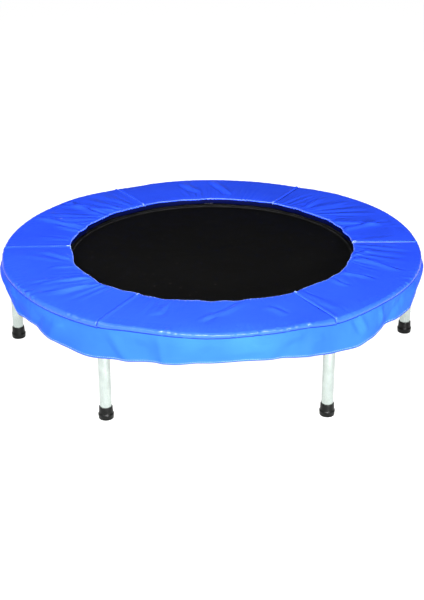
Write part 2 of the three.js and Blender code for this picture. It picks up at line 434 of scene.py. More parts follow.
def rubber(name, color):
    shader = Shader(name, 0.36, 0.15)
    scuff = shader.noise(120.0, 5.0)
    worn = shader.span(scuff, 0.52, 0.75, 0.0, 1.0)
    shader.tint(worn, rgb(*color), scaled(color, 2.2))
    shader.gloss(scuff, 0.32, 0.42)
    shader.link(shader.bump(shader.noise(900.0, 2.0), 0.00008, 0.6), "Normal")
    return shader.material


def sponge(name, color):
    shader = Shader(name, 0.9)
    inputs = {"Vector": shader.place, "Scale": 700.0}
    cells = shader.node("ShaderNodeTexVoronoi", inputs).outputs["Distance"]
    # Darker where the cells sink, as the bump does: painted shade in the pits.
    shader.tint(cells, scaled(color, 0.6), rgb(*color))
    shader.link(shader.bump(cells, 0.0006, 0.8), "Normal")
    return shader.material


TOP_VINYL = vinyl("top vinyl", (0.0213, 0.083, 0.95), 0.34, 0.3)
# The skirt is the top's vinyl, painted a little lighter and greener: painted light for the brighter
# front light on the skirt.
SKIRT_VINYL = vinyl("skirt vinyl", (0.021, 0.095, 0.95), 0.4, 0.008, patchy=0.17)
UNDER_CLOTH = vinyl("underside vinyl", (0.001, 0.002, 0.028), 0.6, 0.03)
# Dark vinyl for the skirt's edge binding, and for cords of painted shade in the rim seam and three
# radial seams.
BINDING_AND_SHADE_CLOTH = vinyl("binding and painted shade vinyl", (0.003, 0.012, 0.14), 0.5, 0.1)
# The darker seam thread is the pale seam thread with painted shade.
SHADED_SEAM_THREAD = thread("painted shade thread", (0.018, 0.07, 0.8))
PALE_THREAD = thread("pale thread", (0.11, 0.3, 0.95))
WHITE_THREAD = thread("white thread", (0.32, 0.46, 0.9))
GREY_THREAD = thread("grey thread", (0.03, 0.03, 0.03))
MAT_WEAVE = woven("mat weave", (0.0036, 0.0035, 0.0034), 3.2 * MM, speck=0.5)
WEBBING = woven("webbing", (0.005, 0.0048, 0.0048), 1.6 * MM)
LEG_PLATE = plated("zinc plate", (0.44, 0.495, 0.465), 0.22)
SPRING_PLATE = plated("spring plate", (0.6, 0.62, 0.63), 0.3)
FOOT_RUBBER = rubber("foot rubber", (0.0025, 0.0027, 0.0025))
FOAM = sponge("foam", (0.75, 0.72, 0.62))


# ---- pad: measured shape ----
PANELS = LEGS
PANEL_ANGLE = TAU / PANELS
CELL = 5 * MM  # of the cloth that is simulated
HEM_ROLL_R = 2 * MM
RIM_ROLL_WIDTH = 6.5 * MM
RIM_ROLL_DROP = 10 * MM
SEAM_R = RIM_R - 0.5 * MM
SEAM_Z = PAD_HIGH - RIM_ROLL_DROP
HEM_R = RIM_R - 4.5 * MM  # the skirt hangs in a little
SHEET = 0.8 * MM

# Each of these runs round the pad as points of an angle in degrees and a length in millimetres.
# Height of the skirt's hem above the floor. It hangs lowest at the two front seams.
HEM_HEIGHTS = [(0, 170), (12, 167), (28, 163), (43, 160), (60, 154), (77, 161), (90, 164)]
HEM_HEIGHTS += [(104, 161), (120, 155), (136, 161), (158, 165), (180, 170), (197, 167), (212, 163)]
HEM_HEIGHTS += [(222, 158), (229, 152), (237, 147), (246, 155), (258, 161), (270, 165), (280, 167)]
HEM_HEIGHTS += [(290, 162), (300, 154), (307, 150), (312, 155), (318, 162), (333, 165), (349, 169)]

# How far in the skirt's hem hangs, beyond its usual place: most just past the legs at the sides.
HEM_TUCKS = [(0, 2), (14, 6), (40, 1), (60, 0), (120, 0), (145, 2), (166, 5), (180, 2), (193, 9)]
HEM_TUCKS += [(208, 8), (222, 2), (234, 0), (318, 0), (334, 5), (350, 9)]

# How far the rim stands above or below its usual height: down at the seams, up between them.
RIM_RISES = [(0, -1), (24, 5), (44, 4), (60, -1), (75, 1), (95, 2), (120, -1.5), (138, 3.5)]
RIM_RISES += [(160, 1.5), (180, -1), (205, 1), (228, -2.5), (238, -3.5), (250, 2.5), (268, -1.2)]
RIM_RISES += [(282, 2), (291, 3.5), (300, -3), (317, 3), (340, 2)]


def hem_wave(theta):
    """How far the pad's inner edge stands outside the hole's usual radius."""
    slow = 3.0 * waves(theta, 5, 16, 31)
    quick = 1.6 * waves(theta, 18, 44, 32)
    return (slow + quick) * MM


def seam_offset(theta, r):
    """Distance from the nearest of the pad's radial seams, and which side of it."""
    turn = (theta + PANEL_ANGLE / 2) % PANEL_ANGLE - PANEL_ANGLE / 2
    return r * np.sin(turn)


def top_profile():
    """Section of the top sheet from the hem at the hole to the rim seam, as (r, z) points."""
    a = np.radians(np.linspace(180, 90, 7))
    hem_r = HOLE_R + HEM_ROLL_R * (1 + np.cos(a))
    hem = np.stack([hem_r, PAD_HIGH - HEM_ROLL_R * (1 - np.sin(a))], -1)
    a = np.radians(np.linspace(90, 0, 9))
    roll_r = SEAM_R - RIM_ROLL_WIDTH * (1 - np.cos(a))
    roll = np.stack([roll_r, PAD_HIGH - RIM_ROLL_DROP * (1 - np.sin(a))], -1)
    flat_r = np.linspace(HOLE_R + HEM_ROLL_R, SEAM_R - RIM_ROLL_WIDTH, 30)[1:-1]
    flat = np.stack([flat_r, np.full(len(flat_r), PAD_HIGH)], -1)
    return np.concatenate([hem, flat, roll])


def along_profile(profile, distance):
    """Points of a profile at distances along it."""
    steps = np.linalg.norm(np.diff(profile, axis=0), axis=1)
    along = np.concatenate([[0], np.cumsum(steps)])
    return np.stack([np.interp(distance, along, profile[:, k]) for k in range(2)], axis=-1)


def profile_length(profile):
    return float(np.linalg.norm(np.diff(profile, axis=0), axis=1).sum())


TOP_PROFILE = top_profile()
TOP_LENGTH = profile_length(TOP_PROFILE)
TOP_ROWS = round(TOP_LENGTH / CELL) + 1
SIM_COLUMNS = 720
SKIRT_ROWS = 14


def skirt_points(theta, share):
    """The skirt's usual shape: share runs from 0 at the rim seam to 1 at the hem."""
    hem = around(theta, HEM_HEIGHTS)
    tuck = around(theta, HEM_TUCKS) * smoothstep(share, 0.15, 1.1)
    r = SEAM_R - 0.5 * MM + (HEM_R - SEAM_R) * share - tuck
    return r, SEAM_Z + (hem - SEAM_Z) * share


# ---- pad: cloth simulation ----
# Spare cloth in each panel, from the one over 0 to 60 degrees on, as a share of its length.
PANEL_SLACK = (0.07, 0.03, 0.07, 0.065, 0.02, 0.06)
SKIRT_SLACK = 0.014
MOST_SLACK = 0.15
SPARE_WIDTH = 0.055  # share by which the top is narrower at its hem before it is fitted

# How far each panel was pulled round along its hem before it was sewn down, in millimetres: as a
# whole, then in halves and in thirds.
PANEL_LEANS = ((-6, 2, 2), (2, -2, 1), (6, 2, -2), (-6, -2, 2), (2, 1, -1), (-5, 2, 2))

FITTED_FRAME = 8  # when the held points have reached their fitted places
SETTLED_FRAME = 22  # when the cloth has come to rest
SLACK_STEPS = 60  # levels of slack that are told apart


def settle(before, fitted, held, slack, supports, bending):
    """Where slack cloth comes to rest once its held points have moved to their fitted places."""
    columns, rows = fitted.shape[:2]
    cover = add_mesh("cloth", before, grid_faces(columns, rows), TOP_VINYL)
    cover.shape_key_add(name="before")
    key = cover.shape_key_add(name="fitted")
    key.data.foreach_set("co", fitted.astype(np.float32).ravel())
    for value, moment in ((0, 1), (1, FITTED_FRAME)):
        key.value = value
        key.keyframe_insert("value", frame=moment)

    index = np.arange(columns * rows).reshape(columns, rows)
    pins = cover.vertex_groups.new(name="pins")
    pins.add([int(i) for i in index[held]], 1.0, "REPLACE")
    shrinking = cover.vertex_groups.new(name="taut")
    taut = np.round((1 - slack / MOST_SLACK) * SLACK_STEPS).astype(int)
    for level in range(SLACK_STEPS + 1):
        members = index[taut == level]
        if len(members):
            shrinking.add([int(i) for i in members], level / SLACK_STEPS, "REPLACE")

    cloth = cover.modifiers.new("cloth", "CLOTH")
    settings = cloth.settings
    settings.quality = 6
    settings.mass = 0.004
    settings.tension_stiffness = settings.compression_stiffness = 40
    settings.shear_stiffness = 15
    settings.bending_stiffness = bending
    settings.vertex_group_mass = "pins"
    settings.vertex_group_shrink = "taut"
    settings.shrink_min, settings.shrink_max = -MOST_SLACK, 0
    cloth.collision_settings.distance_min = 0.8 * MM
    scene = bpy.context.scene
    cloth.point_cache.frame_start, cloth.point_cache.frame_end = 1, SETTLED_FRAME
    for moment in range(1, SETTLED_FRAME + 1):
        scene.frame_set(moment)
    evaluated = cover.evaluated_get(bpy.context.evaluated_depsgraph_get())
    settled = np.zeros(columns * rows * 3, np.float32)
    evaluated.data.vertices.foreach_get("co", settled)
    for obj in [cover, *supports]:
        bpy.data.objects.remove(obj)
    scene.frame_set(1)
    return settled.reshape(columns, rows, 3).astype(float)


def in_polar(points, theta):
    """Radius, sideways distance from the column's own angle, and height, of each point."""
    c, s = np.cos(theta)[:, None], np.sin(theta)[:, None]
    out = points[..., 0] * c + points[..., 1] * s
    side = points[..., 1] * c - points[..., 0] * s
    return np.stack([out, side, points[..., 2]], axis=-1)


def support(name, profile, facets):
    """A smooth solid that the cloth lies against while it settles."""
    solid = add_mesh(name, *turned(profile, facets, closed=True), FOAM)
    solid.modifiers.new("collision", "COLLISION")
    solid.collision.thickness_outer = 0.5 * MM
    solid.collision.cloth_friction = 12
    return solid


def settled_top():
    """How far each point of the top moves as the slack vinyl settles on the foam."""
    theta = full_turn(SIM_COLUMNS)
    section = along_profile(TOP_PROFILE, np.linspace(0, TOP_LENGTH, TOP_ROWS))
    r, z = section[None, :, 0], section[None, :, 1]
    fitted = polar(r, theta[:, None], z)
    inward = 1 - np.arange(TOP_ROWS) / (TOP_ROWS - 1)
    panel = np.floor(theta / PANEL_ANGLE).astype(int)
    share = theta / PANEL_ANGLE - panel

    lumps = np.clip(1 + 0.7 * waves(theta, 7, 19, 44), 0.1, 1.7)
    slack = (np.array(PANEL_SLACK)[panel] * lumps)[:, None] * inward[None, :] ** 1.3
    slack = np.minimum(slack, MOST_SLACK)

    # Before it is fitted the top is narrower and pulled round, which leaves it creased.
    spare = SPARE_WIDTH * (inward[1:] + inward[:-1]) / 2
    narrower = np.concatenate([[0], np.cumsum(np.diff(section[:, 0]) * spare / (1 + spare))])
    leans = np.array(PANEL_LEANS)[panel] * MM
    pull = sum(leans[:, k] * np.sin((k + 1) * math.pi * share) for k in range(3))
    turn = (pull / HOLE_R)[:, None] * inward[None, :] ** 1.2
    ripple = np.abs(waves(theta, 14, 90, 42))[:, None] * np.clip(inward * 4, 0, 1) ** 0.5
    up = 0.8 * MM * ripple * (inward > 0) * (inward < 1)
    before = polar(r - narrower, theta[:, None] + turn, z + up)

    held = np.zeros((SIM_COLUMNS, TOP_ROWS), bool)
    held[:, 0] = held[:, -1] = True
    held[:: SIM_COLUMNS // PANELS] = True
    top, edge = PAD_HIGH - 0.9 * MM, 5 * MM
    inner, outer = HOLE_R + 1 * MM, SEAM_R - 1.5 * MM
    profile = [(inner, PAD_LOW), (outer, PAD_LOW), (outer, top - edge)]
    profile += [(outer - edge * 0.3, top - edge * 0.3), (outer - edge, top), (inner + edge, top)]
    profile += [(inner + edge * 0.3, top - edge * 0.3), (inner, top - edge)]
    settled = settle(before, fitted, held, slack, [support("foam_support", profile, 360)], 80)
    return in_polar(settled, theta) - in_polar(fitted, theta)


def settled_skirt():
    """How far each point of the skirt moves as it hangs from the rim seam in soft folds."""
    theta = full_turn(SIM_COLUMNS)
    share = np.arange(SKIRT_ROWS + 1) / SKIRT_ROWS
    r, z = skirt_points(theta[:, None], share[None, :])
    fitted = polar(r, theta[:, None], z)
    slope = 1.2 * MM * waves(theta, 14, 50, 43)[:, None] * share[None, :]
    before = polar(r + slope, theta[:, None], z)
    slack = np.broadcast_to(SKIRT_SLACK * smoothstep(share, 0, 0.6)[None, :], z.shape)
    held = np.zeros(z.shape, bool)
    held[:, 0] = True
    a = full_turn(12)
    ring = np.stack([LEG_CIRCLE_R + TUBE_R * np.cos(a), RING_Z + TUBE_R * np.sin(a)], -1)
    settled = settle(before, fitted, held, slack, [support("ring_support", ring, 180)], 15)
    return in_polar(settled, theta) - in_polar(fitted, theta)


# ---- pad: final surfaces ----
SEAM_STEPS = np.array([-9, -6.5, -4.5, -3, -2, -1.2, -0.5, 0, 0.5, 1.2, 2, 3, 4.5, 6.5, 9]) * MM
SHADED_SEAMS = (1, 4, 5)  # seams with painted shade: a darker thread and a dark cord in the dip
TOPSTITCH = 3 * MM  # from a radial seam to its line of stitches
SEAM_DIP = 1.2 * MM  # from a radial seam, on its other side, to the bottom of the dip along it
HEM_ROW = 2  # row of the top's points that the stitches round the hole follow
SEAM_LAP = 7 * MM  # width of the seam allowance folded under one side
PANEL_COLUMNS = np.radians(np.arange(2.0, 58.01, 0.25))
HEM_FADE = 22 * MM  # how far the waviness of the inner edge reaches
RIM_FADE = 35 * MM  # how far in from the rim its rises and falls reach
PUCKER_REACH = 15 * MM  # how far in from the rim its gathers reach
CREASE_HEIGHT = 4 * MM  # the most that a simulated crease may stand up
CREASE_SHARE = 0.55  # how much of the simulated height a low crease keeps

# Soft folds across the top, each from one place to another: angle in degrees and radius in
# millimetres of both ends, then half width and height in millimetres. The vinyl dips beside each:
# on the left going outwards, or on the right where the half width is negative.
TOP_FOLDS = (
    (195, 325, 185, 395, -7, 3),
    (202, 335, 201, 385, -7, 2.5),
    (216, 335, 211, 450, -9, 4.5),
    (224, 340, 217, 455, -9, 3.5),
    (133, 325, 144, 475, -9, 4),
    (143, 330, 139, 485, -9, 3.5),
    (157, 335, 156, 480, -10, 4.5),
    (163, 325, 160, 405, -8, 3),
    (82, 365, 88, 465, 9, 4.5),
    (95, 380, 98, 460, 10, 4),
    (42, 345, 39, 460, 8, 4),
    (46, 350, 47, 440, 8, 3.5),
    (26, 325, 15, 425, 9, 4.5),
    (15, 330, 17, 450, 10, 4),
    (346, 330, 352, 375, 7, 2.5),
    (342, 330, 337, 450, 9, 4.5),
    (328, 335, 327, 410, 9, 3.5),
    (319, 335, 318, 385, 8, 2.5),
    (270, 395, 280, 345, 9, 2.5),
    (268, 395, 266, 430, 8, 2.5),
    (286, 380, 290, 425, 10, 2.5),
    (253, 370, 252, 415, 10, 2.5),
)

# Places on the rim where the seam has gathered the vinyl hardest: angle, half width, strength.
RIM_GATHERS = ((262, 9, 1.3), (283, 12, 1.4), (228, 12, 0.6), (210, 9, 1.2), (329, 9, 0.5))

# Soft folds down the skirt: angle, half width and height outwards in millimetres, then how many
# degrees each drifts on its way down, and the shares of the skirt where it starts and ends.
SKIRT_FOLDS = (
    (315.5, 0.9, 2.4, 0.6, 0.15, 0.5),
    (318, 1.6, -1.6, 0.6, 0.15, 0.5),
    (307.5, 1.0, 1.6, 4.0, 0.0, 0.35),
    (305.5, 1.1, -1.6, 4.0, 0.0, 0.35),
    (283, 5.0, -1.6, -8.0, 0.75, 1.0),
    (256, 1.2, 1.5, 1.0, 0.1, 0.8),
    (196, 1.8, 1.6, 12.0, 0.3, 0.9),
    (326, 2.0, -1.4, -6.0, 0.2, 0.9),
    (296, 2.4, 2.0, -4.0, 0.3, 1.0),
    (290, 2.6, -2.2, -4.0, 0.4, 1.0),
    (279, 3.0, 1.8, 3.0, 0.2, 0.8),
    (270, 2.2, -1.4, -5.0, 0.4, 1.0),
    (263, 3.0, 1.8, -4.0, 0.1, 0.9),
    (250, 3.0, -1.8, 3.0, 0.3, 1.0),
    (243, 1.6, 1.6, 5.0, 0.1, 0.8),
    (229, 2.4, 2.2, -5.0, 0.2, 1.0),
    (222, 2.4, -2.2, -5.0, 0.3, 1.0),
    (205, 3.0, 1.8, 3.0, 0.1, 0.9),
    (335, 3.0, 1.6, -3.0, 0.2, 1.0),
    (356, 14.0, 2.6, 0.0, 0.15, 0.4),
    (186, 14.0, 2.6, 0.0, 0.15, 0.4),
)
FOLD_DEPTH = 2.3  # depth of every fold in the skirt, as a multiple of its height above
HEM_LINE = 0.955  # share of the skirt's depth at which its hem is stitched
SKIRT_DROP = 2.2 * MM  # from the rim seam down to the fold at the top of the skirt
SKIRT_SWAY = 7 * MM  # the most that the simulation may move the skirt in or out
FINE_COLUMNS = 1440  # round the skirt and the hem


def resampled(field, column, row):
    """Values of a grid that closes on itself in its first index, at fractional columns and rows."""
    columns, rows = field.shape[:2]
    column, row = np.broadcast_arrays(column, np.clip(row, 0, rows - 1))
    i, j = np.floor(column).astype(int), np.floor(row).astype(int)

    def weights(t):
        near = [-0.5 * t + t**2 - 0.5 * t**3, 1 - 2.5 * t**2 + 1.5 * t**3]
        far = [0.5 * t + 2 * t**2 - 1.5 * t**3, -0.5 * t**2 + 0.5 * t**3]
        return near + far

    total = np.zeros(i.shape + field.shape[2:])
    for a, wa in enumerate(weights(column - i)):
        for b, wb in enumerate(weights(row - j)):
            picked = field[(i + a - 1) % columns, np.clip(j + b - 1, 0, rows - 1)]
            total += (wa * wb)[..., None] * picked
    return total


def column_angles(r):
    """Angle of every fine column at each radius: crowded and parallel along each radial seam."""
    angles = []
    for panel in range(PANELS):
        near_seam = np.arcsin(SEAM_STEPS[None, :] / r[:, None])
        between = np.broadcast_to(PANEL_COLUMNS[None, :], (len(r), len(PANEL_COLUMNS)))
        angles.append(panel * PANEL_ANGLE + np.concatenate([near_seam, between], axis=1))
    return np.concatenate(angles, axis=1).T


def fine_distances(length):
    """Row places along the top's section: close together at the hem and at the rim."""
    hem = np.cumsum([0, 0.8, 0.8, 0.9, 1, 1.2, 1.5, 1.8, 2.2, 2.6, 3]) * MM
    rim = length - np.cumsum([0, 0.8, 0.8, 0.9, 1, 1.1, 1.2, 1.4, 1.6, 1.9, 2.2, 2.6, 3])[::-1] * MM
    middle = np.linspace(hem[-1], rim[0], 32)[1:-1]
    return np.concatenate([hem, middle, rim])


def puckers(theta, seed, lowest=170, highest=330):
    """Short gathers along a sewn edge: strong in some places and nearly gone in others."""
    tight = waves(theta, lowest, highest, seed)
    where = smoothstep(waves(theta, 7, 26, seed + 1), -0.6, 0.8)
    return tight * (0.3 + where)


def rim_gathers(theta):
    degrees = np.degrees(theta) % 360
    pull = sum(h * bell(degrees, middle, w) for middle, w, h in RIM_GATHERS)
    return puckers(theta, 51, 60, 230) * (0.3 + pull) * MM


def seam_relief(offset):
    """Height across a radial seam: one side lies over the folded allowance, the other dips."""
    lap = 1.5 * MM * smoothstep(offset, -0.6 * MM, 0.8 * MM)
    lap = lap * (1 - smoothstep(offset, SEAM_LAP - 3.5 * MM, SEAM_LAP + 2 * MM))
    dip = -1.6 * MM * bell(offset, -SEAM_DIP, 1.9 * MM)
    topstitch = -0.35 * MM * bell(offset, TOPSTITCH, 1.0 * MM)
    return lap + dip + topstitch


def top_folds(theta, r):
    """Height of the soft folds that cross the top."""
    here = polar(r, theta, 0 * r)[..., :2]
    height = np.zeros(here.shape[:2])
    for start, start_r, end, end_r, width, rise in TOP_FOLDS:
        one = polar(start_r * MM, math.radians(start), 0.0)[:2]
        other = polar(end_r * MM, math.radians(end), 0.0)[:2]
        length = float(np.linalg.norm(other - one))
        way = (other - one) / length
        along = (here - one) @ way / length
        aside = (here - one) @ np.array([-way[1], way[0]]) / (width * MM)
        aside = aside + 0.35 * np.sin(5 * along + start)
        ridge = bell(aside, 0, 1) - 0.8 * bell(aside, 1.25, 0.6)
        reach = smoothstep(along, -0.12, 0.15) * (1 - smoothstep(along, 0.6, 1.12))
        height = height + rise * MM * ridge * reach
    return height


def moved(points, out, up):
    """Points moved away from the Z axis, and up."""
    return points + unit(points * np.array([1.0, 1.0, 0.0])) * out + np.array([0.0, 0.0, up])


def top_surface(moves):
    """Points of the finished top sheet, fine columns by fine rows, with its edge tucked in."""
    distance = fine_distances(TOP_LENGTH)
    section = along_profile(TOP_PROFILE, distance)
    theta = column_angles(section[:, 0])
    base_r, base_z = section[None, :, 0], section[None, :, 1]
    row = distance / TOP_LENGTH * (TOP_ROWS - 1)
    move = resampled(moves, theta / TAU * SIM_COLUMNS, row[None, :])
    up = CREASE_HEIGHT * np.tanh(CREASE_SHARE * move[..., 2] / CREASE_HEIGHT)
    from_hem, from_rim = distance[None, :], TOP_LENGTH - distance[None, :]
    hem_gathers = puckers(theta, 53) * MM
    r = base_r + 0.6 * move[..., 0] + hem_wave(theta) * np.exp(-from_hem / HEM_FADE)
    r = r + 0.5 * hem_gathers * np.exp(-from_hem / (4 * MM))
    z = base_z + up + around(theta, RIM_RISES) * np.exp(-from_rim / RIM_FADE)
    z = z + 0.7 * rim_gathers(theta) * bell(from_rim, 5 * MM, PUCKER_REACH)
    r = r + 0.8 * rim_gathers(theta) * bell(from_rim, 3 * MM, 5 * MM)
    z = z + 0.9 * hem_gathers * np.exp(-from_hem / (9 * MM))
    edges = smoothstep(from_hem, 2 * MM, 14 * MM) * smoothstep(from_rim, 6 * MM, 24 * MM)
    z = z + top_folds(theta, r) * (0.25 + 0.75 * edges)
    z = z + seam_relief(seam_offset(theta, r))
    points = polar(r, theta + 0.8 * move[..., 1] / base_r, z)
    last = points[:, -1:]
    tucked = [moved(last, -0.9 * MM, -0.9 * MM), moved(last, -3.2 * MM, -1.2 * MM)]
    return np.concatenate([points, *tucked], axis=1)


def skirt_surface(moves):
    """Points of the finished skirt, from the rim seam, where its edge is tucked in, to the hem."""
    hem = [HEM_LINE - 0.02, HEM_LINE - 0.008, HEM_LINE, HEM_LINE + 0.008, 0.985, 1]
    share = np.concatenate([np.linspace(0, 0.2, 12), np.linspace(0.2, 0.91, 24)[1:], hem])
    theta = full_turn(FINE_COLUMNS)
    r, z = skirt_points(theta[:, None], share[None, :])
    move = resampled(moves, theta[:, None] / TAU * SIM_COLUMNS, share[None, :] * SKIRT_ROWS)
    r = r + SKIRT_SWAY * np.tanh(move[..., 0] / SKIRT_SWAY)
    z = z + around(theta, RIM_RISES)[:, None] * (1 - share) + np.clip(move[..., 2], -2 * MM, 2 * MM)
    r = r + (0.14 * rim_gathers(theta))[:, None] * bell(share, 0.05, 0.12)
    degrees = np.degrees(theta)[:, None]
    for middle, width, height, slant, top, bottom in SKIRT_FOLDS:
        away = (degrees - slant * share[None, :] - middle + 180) % 360 - 180
        reach = smoothstep(share, top - 0.2, top + 0.2)
        reach = reach * (1 - smoothstep(share, bottom, bottom + 0.4))
        r = r + FOLD_DEPTH * height * MM * bell(away, 0, width) * reach
    r = r - 0.4 * MM * bell(share, HEM_LINE, 0.01)
    points = polar(r, theta[:, None] + move[..., 1] / r, z - SKIRT_DROP * (1 - share))
    first = points[:, :1]
    tucked = [moved(first, -3.2 * MM, 1.0 * MM), moved(first, -1.1 * MM, 0.8 * MM)]
    tucked.append(moved(first, -0.3 * MM, 0.4 * MM))
    return np.concatenate([*tucked, points], axis=1), share


def thicken(obj, thickness, inside=None):
    """Gives a sheet its thickness, behind its faces, and another material there if one is named."""
    solid = obj.modifiers.new("thickness", "SOLIDIFY")
    solid.thickness = thickness
    solid.offset = -1.0
    if inside:
        obj.data.materials.append(inside)
        solid.material_offset = 1


def placed(obj, body, slot, *nodes):
    """Hangs a piece on its body and hides the CAD nodes it stands for. Its finish slot is not used.
    """
    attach(obj, body)
    if nodes:
        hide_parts(*nodes)
    return obj


def add_cord(name, path, radius, material, sides=8, closed=True):
    """A round cord along a path, which rides with the pad: rolls of cloth, threads and dark lines
    of painted shade.
    """
    cord = add_mesh(name, *tube(path, radius, sides, closed), material)
    placed(cord, "frame", "pad_vinyl")


def make_pad_top():
    moves = settled_top()
    points = top_surface(moves)
    cloth = add_mesh("pad_top", points, grid_faces(*points.shape[:2], flip=True), TOP_VINYL)
    thicken(cloth, SHEET, UNDER_CLOTH)
    placed(cloth, "frame", "pad_vinyl", "pad_cover")

    add_seams(points, -grid_normals(points))
    # A dark cord in the rim seam: painted shade of the seam's groove under the roll.
    add_cord("rim_seam_shade", moved(points[:, -2], 0.1 * MM, -0.6 * MM), 0.95 * MM, BINDING_AND_SHADE_CLOTH)
    return points


def add_seams(points, normals):
    """The top's threads: along each radial seam, round the hole, and tied off where they meet.
    Three seams get a darker thread and a dark cord in their dip, both painted shade.
    """
    columns = len(SEAM_STEPS) + len(PANEL_COLUMNS)
    rows = len(fine_distances(TOP_LENGTH))
    stitch_column = int(np.argmin(abs(SEAM_STEPS - TOPSTITCH)))
    for panel in range(PANELS):
        column = panel * columns + stitch_column
        sewn = slice(6, rows - 2)
        path, ups = points[column, sewn], normals[column, sewn]
        seam = stitches(path, ups, 3.0 * MM, 4.8 * MM, 0.36 * MM, closed=False)
        # The shaded seams get the darker thread: painted shade on the same thread.
        color = SHADED_SEAM_THREAD if panel in SHADED_SEAMS else PALE_THREAD
        placed(seam.make(f"seam_stitches_{panel + 1}", color), "frame", "pad_vinyl")
    hem = stitches(points[:, HEM_ROW], normals[:, HEM_ROW], 3.4 * MM, 4.4 * MM, 0.45 * MM)
    placed(hem.make("inner_hem_stitches", WHITE_THREAD), "frame", "pad_vinyl")
    over_edge = [8, 5, 3, 1, 0, 0]
    for panel in range(PANELS):
        column = panel * columns + stitch_column
        end = points[column, over_edge] + 0.6 * MM * normals[column, over_edge]
        end[-1, 2] -= 3.5 * MM
        add_cord(f"seam_end_{panel + 1}", end, 0.75 * MM, WHITE_THREAD, closed=False)
    # A dark cord in the dip beside each shaded seam: painted shade of its crease.
    dip_column = int(np.argmin(abs(SEAM_STEPS + SEAM_DIP)))
    for panel in SHADED_SEAMS:
        path = points[panel * columns + dip_column, 10 : rows - 3] + np.array([0, 0, 0.1 * MM])
        add_cord(f"seam_shade_cord_{panel + 1}", path, 0.85 * MM, BINDING_AND_SHADE_CLOTH, closed=False)


def make_hem_binding(top):
    """The edge of the top turned under round the hole: a soft roll, gathered by its stitches."""
    theta = full_turn(FINE_COLUMNS)
    edge = top[:, 0]
    angles = np.arctan2(edge[:, 1], edge[:, 0]) % TAU
    r = np.interp(theta, angles, np.hypot(edge[:, 0], edge[:, 1]), period=TAU)
    z = np.interp(theta, angles, edge[:, 2], period=TAU)
    path = polar(r + 0.6 * MM, theta, z + 0.3 * MM)
    radius = (1.1 + 0.3 * puckers(theta, 57)) * MM
    add_cord("inner_hem_roll", path, radius, TOP_VINYL, sides=10)


def make_pad_underside():
    """Dark backing: up the wall of the hole, and flat under the foam."""
    theta = full_turn(FINE_COLUMNS // 2)
    wall = [(1.6, -2.2), (0.7, -4), (0.3, -6.5), (0.2, -9), (0.4, -11.5), (0.9, -13.5)]
    wall += [(2.2, -14.9), (4.5, -15.3), (8, -15), (13, -14.2), (19, -13.4)]
    profile = [(HOLE_R + out * MM, PAD_HIGH + down * MM) for out, down in wall]
    flat = np.linspace(HOLE_R + 26 * MM, SEAM_R - 5 * MM, 24)
    profile += [(r, PAD_LOW + 0.15 * MM) for r in flat]
    profile = np.array(profile)
    reach = np.exp(-np.clip(profile[:, 0] - HOLE_R, 0, None) / HEM_FADE)
    r = profile[None, :, 0] + hem_wave(theta)[:, None] * reach
    gathers = 0.5 * MM * puckers(theta, 53)[:, None] * np.exp(-np.arange(len(profile)) / 3.0)
    lift = 2.4 * MM * smoothstep(waves(theta, 3, 12, 71), 0.2, 1.0)[:, None]
    lift = lift * np.clip((PAD_LOW - profile[:, 1]) / (2 * MM), 0, 1)
    z = profile[None, :, 1] + lift
    points = polar(r + gathers, theta[:, None], z)
    cloth = add_mesh("pad_underside", points, grid_faces(*points.shape[:2]), UNDER_CLOTH)
    thicken(cloth, 0.6 * MM)
    placed(cloth, "frame", "pad_vinyl")


def make_foam():
    """The foam ring inside the cover, with soft edges."""
    low, high = PAD_LOW + 1.2 * MM, PAD_HIGH - 4.5 * MM
    inner, outer, edge = HOLE_R + 7 * MM, SEAM_R - 7 * MM, 2 * MM
    a = np.radians(np.arange(0, 91, 22.5))
    corners = [(outer - edge, low + edge, -90), (outer - edge, high - edge, 0)]
    corners += [(inner + edge, high - edge, 90), (inner + edge, low + edge, 180)]
    profile = []
    for r, z, turn in corners:
        for b in a + math.radians(turn):
            profile.append((r + edge * math.cos(b), z + edge * math.sin(b)))
    foam = add_mesh("foam_ring", *turned(profile, 180, closed=True), FOAM)
    placed(foam, "frame", "pad_foam", "pad_foam")


def make_skirt():
    moves = settled_skirt()
    points, share = skirt_surface(moves)
    cloth = add_mesh("skirt", points, grid_faces(*points.shape[:2], flip=True), SKIRT_VINYL)
    thicken(cloth, SHEET, UNDER_CLOTH)
    placed(cloth, "frame", "pad_vinyl", "pad_skirt")
    normals = -grid_normals(points)
    row = points.shape[1] - len(share) + int(np.argmin(abs(share - HEM_LINE)))
    hem = stitches(points[:, row], normals[:, row], 3.0 * MM, 4.8 * MM, 0.45 * MM)
    placed(hem.make("skirt_hem_stitches", WHITE_THREAD), "frame", "pad_vinyl")
    add_cord("skirt_edge", moved(points[:, -1], -0.35 * MM, -0.2 * MM), 0.8 * MM, BINDING_AND_SHADE_CLOTH)


# ---- mat ----
BAND_INNER_R, BAND_OUTER_R = 322 * MM, 350 * MM
BAND_HALF = 1.9 * MM
STITCH_ROWS = (326 * MM, 335.5 * MM, 345 * MM)
VRING_TIP_R = 366.5 * MM
VRING_WIRE_R = 1.45 * MM


def spring_angle(k):
    return (k + 0.5) / SPRINGS * TAU


def drawn(theta):
    """1 where a V-ring pulls at the mat's edge, and -1 halfway to the next."""
    return np.cos(SPRINGS * (theta - spring_angle(0)))


def scallop(theta):
    """How far the mat's edge stands in: it is drawn out at each V-ring and falls back between."""
    return 0.9 * MM * drawn(theta) - 0.9 * MM


